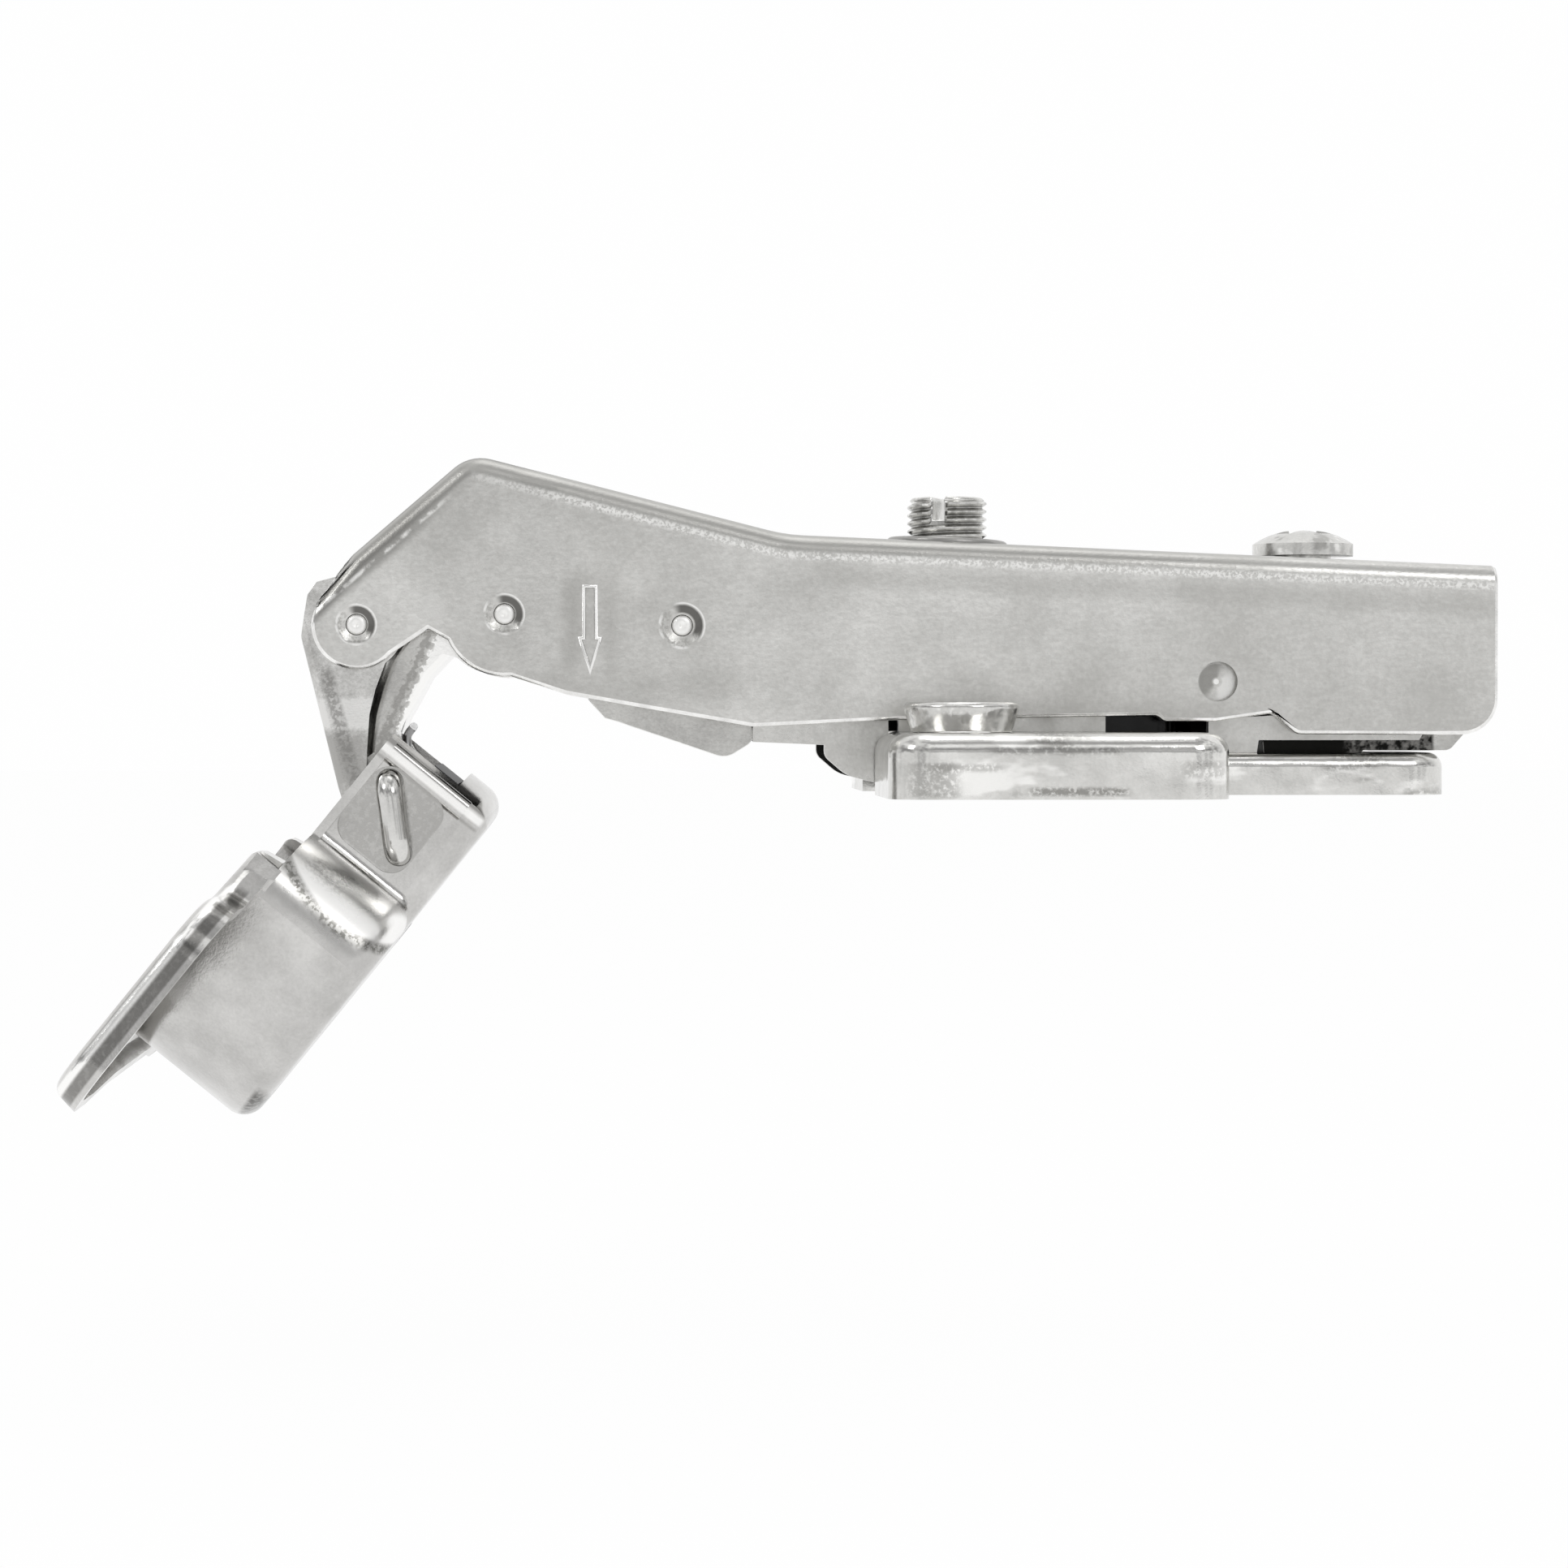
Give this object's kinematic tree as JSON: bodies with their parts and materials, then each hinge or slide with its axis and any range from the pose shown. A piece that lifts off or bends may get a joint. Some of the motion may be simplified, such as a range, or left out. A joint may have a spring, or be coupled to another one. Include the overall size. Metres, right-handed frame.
{
  "type": "concealed cup hinge",
  "caption": "Concealed cup hinge in bright plated steel, half open: stamped cup, folded arm with a hump, links, soft-close damper and clip-on mounting plate.",
  "frame": {"origin": "on the panel's face midway between the two panel screws of the mounting plate", "axes": "+X towards the rear of the cabinet, +Y across the hinge, +Z away from the panel"},
  "size_m": [0.1166, 0.0586, 0.0549],
  "materials": {
    "plated_steel_blank": "satin",
    "plated_steel_cup": "polished",
    "plated_steel_link": "satin",
    "plated_steel_bracket": "satin",
    "plated_steel_plate": "polished",
    "pale_rivet_steel": "satin",
    "pin_steel": "polished",
    "screw_steel": "satin",
    "spring_steel": "satin",
    "white_plastic": "matte",
    "grey_plastic": "matte",
    "black_plastic": "matte"
  },
  "bodies": {
    "base": {"mounting_plate": "plated_steel_plate", "plate_screws": "screw_steel", "base_bracket": "plated_steel_bracket", "latch_pin": "pin_steel", "latch_spring": "spring_steel"},
    "latch": {"release_lever": "plated_steel_bracket"},
    "carriage": {"slide_plate": "plated_steel_bracket"},
    "side_adjuster": {"side_screw": "screw_steel"},
    "depth_adjuster": {"depth_screw": "screw_steel"},
    "arm": {"hinge_arm": "plated_steel_blank", "outer_link_rivet": "pale_rivet_steel", "inner_link_rivet": "pale_rivet_steel", "damper_rivet": "pale_rivet_steel", "damper_cylinder": "grey_plastic", "damper_holder": "grey_plastic"},
    "rocker": {"damper_rocker": "plated_steel_link"},
    "piston": {"damper_rod": "pin_steel"},
    "outer": {"outer_link": "plated_steel_link"},
    "cup": {"hinge_cup": "plated_steel_cup", "cup_dual_pin": "pin_steel", "pivot_sleeve": "white_plastic", "closing_spring": "spring_steel", "spring_carrier": "black_plastic"},
    "inner": {"inner_link": "plated_steel_link"}
  },
  "joints": [
    {"name": "depth_slide", "type": "slide", "parent": "base", "child": "carriage", "axis": [1, 0, 0], "range_m": [-0.002, 0.002]},
    {"name": "side_turn", "type": "hinge", "parent": "carriage", "child": "side_adjuster", "pos_m": [0.00035, 0, 0.02], "axis": [0, 0, 1], "range_deg": [-340, 340]},
    {"name": "side_tilt", "type": "hinge", "parent": "carriage", "child": "arm", "pos_m": [0.02209, 0, 0.00941], "axis": [0, 1, 0], "range_deg": [-1, 1]},
    {"name": "depth_turn", "type": "hinge", "parent": "base", "child": "depth_adjuster", "pos_m": [0.0307, 0, 0.018], "axis": [0, 0, 1], "range_deg": [-180, 180]},
    {"name": "latch_release", "type": "hinge", "parent": "base", "child": "latch", "pos_m": [0.0276, 0, 0.0097], "axis": [0, -1, 0], "range_deg": [0, 12], "stiffness_Nm_per_rad": 0.02, "springref_deg": -8.59, "deforming": ["latch_spring"]},
    {"name": "outer_fold", "type": "hinge", "parent": "arm", "child": "outer", "pos_m": [-0.04919, 0, 0.01411], "axis": [0, 1, 0], "range_deg": [-27.91, 0]},
    {"name": "cup_fold", "type": "hinge", "parent": "outer", "child": "cup", "pos_m": [-0.04575, 0, -0.00478], "axis": [0, 1, 0], "range_deg": [0, 123.91]},
    {"name": "inner_fold", "type": "hinge", "parent": "cup", "child": "inner", "pos_m": [-0.04649, 0, 0.0011], "axis": [0, 1, 0], "range_deg": [-149.8, 0]},
    {"name": "rocker_swing", "type": "hinge", "parent": "arm", "child": "rocker", "pos_m": [-0.0223, 0, 0.01403], "axis": [0, 1, 0], "range_deg": [-13, 0]},
    {"name": "piston_stroke", "type": "slide", "parent": "arm", "child": "piston", "axis": [-1, 0, 0], "range_m": [0, 0.0006625]}
  ],
  "couplings": [
    {"joint": "side_turn", "follows": "side_tilt", "ratio": 340},
    {"joint": "outer_fold", "follows": "cup_fold", "ratio": -0.22524},
    {"joint": "inner_fold", "follows": "cup_fold", "ratio": -1.2089},
    {"joint": "rocker_swing", "follows": "cup_fold", "ratio": -0.10491},
    {"joint": "piston_stroke", "follows": "cup_fold", "m_per_rad": 0.00030635}
  ]
}
